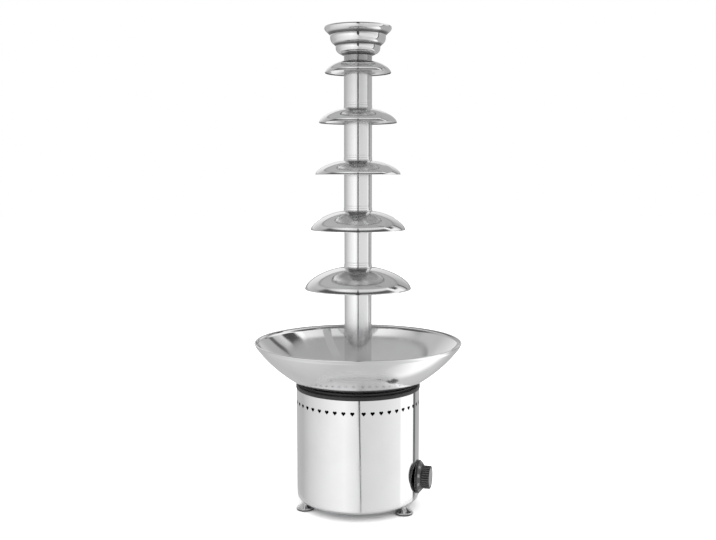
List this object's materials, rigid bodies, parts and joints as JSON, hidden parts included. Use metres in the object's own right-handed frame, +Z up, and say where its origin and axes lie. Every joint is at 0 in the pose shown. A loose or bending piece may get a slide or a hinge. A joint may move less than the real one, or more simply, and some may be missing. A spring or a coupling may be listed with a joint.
{
  "type": "chocolate fountain",
  "caption": "Free-standing chocolate fountain: heated bowl on a vented can, auger inside a sectional tower of domes with a stepped crown, geared motor, thermostat knob and levelling feet.",
  "frame": {"origin": "on the floor under the tower's axis", "axes": "+Z up along the tower, -Y towards the front, +X to the right of the front, where the knob is"},
  "size_m": [0.4, 0.4, 0.9172],
  "materials": {
    "polished_steel": "polished",
    "satin_steel": "satin",
    "black_plastic": "satin",
    "black_rubber": "matte",
    "brass": "satin",
    "ivory_plastic": "matte",
    "cast_aluminium": "satin",
    "knob_face": "satin",
    "copper": "satin"
  },
  "bodies": {
    "base": {"base_shell": "polished_steel", "bottom_cover": "satin_steel", "cover_screws": "satin_steel", "support_ring": "black_plastic", "bowl": "polished_steel", "stud_nuts": "satin_steel", "bowl_hub": "satin_steel", "shaft_bush": "brass", "shaft_seal": "black_rubber", "gearbox_case": "cast_aluminium", "gearbox_lid": "cast_aluminium", "gearbox_bush": "brass", "gearbox_screws": "satin_steel", "idler_pin": "satin_steel", "motor_stator": "satin_steel", "motor_coils": "copper", "motor_bell_upper": "cast_aluminium", "motor_bell_lower": "cast_aluminium", "motor_screws": "satin_steel", "mounting_plate": "satin_steel", "heat_spreader": "cast_aluminium", "heating_element": "satin_steel", "heater_straps": "satin_steel", "thermal_cutout": "black_plastic", "thermostat_bulb": "copper", "thermostat_bracket": "satin_steel", "thermostat_body": "ivory_plastic", "switch_body": "black_plastic", "cable_gland": "black_plastic", "gland_nut": "black_plastic", "gland_locknut": "black_plastic", "terminal_block": "ivory_plastic", "wiring": "black_rubber"},
    "drive": {"drive_shaft": "satin_steel", "drive_pin": "satin_steel", "output_gear": "ivory_plastic"},
    "idler": {"idler_gear": "ivory_plastic"},
    "rotor": {"motor_rotor": "satin_steel", "motor_pinion": "brass"},
    "auger": {"auger_core": "satin_steel", "auger_flight": "satin_steel"},
    "tower": {"tower_tube_1": "polished_steel", "tower_tube_2": "polished_steel", "tower_tube_3": "polished_steel", "tower_tube_4": "polished_steel", "tower_tube_5": "polished_steel", "dome_1": "polished_steel", "dome_2": "polished_steel", "dome_3": "polished_steel", "dome_4": "polished_steel", "dome_5": "polished_steel"},
    "crown": {"crown": "polished_steel"},
    "knob": {"control_knob": "black_plastic", "knob_cap": "knob_face", "thermostat_spindle": "brass"},
    "rocker": {"switch_rocker": "black_plastic"},
    "foot_1": {"levelling_foot_1": "polished_steel"},
    "foot_2": {"levelling_foot_2": "polished_steel"},
    "foot_3": {"levelling_foot_3": "polished_steel"}
  },
  "joints": [
    {"name": "auger_spin", "type": "hinge", "parent": "base", "child": "drive", "pos_m": [0, 0, 0.25], "axis": [0, 0, 1], "continuous": true},
    {"name": "idler_spin", "type": "hinge", "parent": "base", "child": "idler", "pos_m": [0, 0.04375, 0.2], "axis": [0, 0, 1], "continuous": true},
    {"name": "motor_spin", "type": "hinge", "parent": "base", "child": "rotor", "pos_m": [0, 0, 0.15], "axis": [0, 0, 1], "continuous": true},
    {"name": "auger_lift", "type": "slide", "parent": "drive", "child": "auger", "axis": [0, 0, 1], "range_m": [0, 0.66]},
    {"name": "tower_lift", "type": "slide", "parent": "base", "child": "tower", "axis": [0, 0, 1], "range_m": [0, 0.64]},
    {"name": "crown_lift", "type": "slide", "parent": "tower", "child": "crown", "axis": [0, 0, 1], "range_m": [0, 0.05]},
    {"name": "knob_turn", "type": "hinge", "parent": "base", "child": "knob", "pos_m": [0.11543, -0.03093, 0.061], "axis": [-0.9659, 0.2588, 0], "range_deg": [0, 270]},
    {"name": "switch_rock", "type": "hinge", "parent": "base", "child": "rocker", "pos_m": [0.10876, 0.05071, 0.061], "axis": [0.4226, -0.9063, 0], "range_deg": [0, 20]},
    {"name": "foot_1_level", "type": "slide", "parent": "base", "child": "foot_1", "axis": [0, 0, -1], "range_m": [0, 0.008]},
    {"name": "foot_2_level", "type": "slide", "parent": "base", "child": "foot_2", "axis": [0, 0, -1], "range_m": [0, 0.008]},
    {"name": "foot_3_level", "type": "slide", "parent": "base", "child": "foot_3", "axis": [0, 0, -1], "range_m": [0, 0.008]}
  ],
  "couplings": [
    {"joint": "idler_spin", "follows": "auger_spin", "ratio": -4},
    {"joint": "motor_spin", "follows": "auger_spin", "ratio": 16}
  ]
}
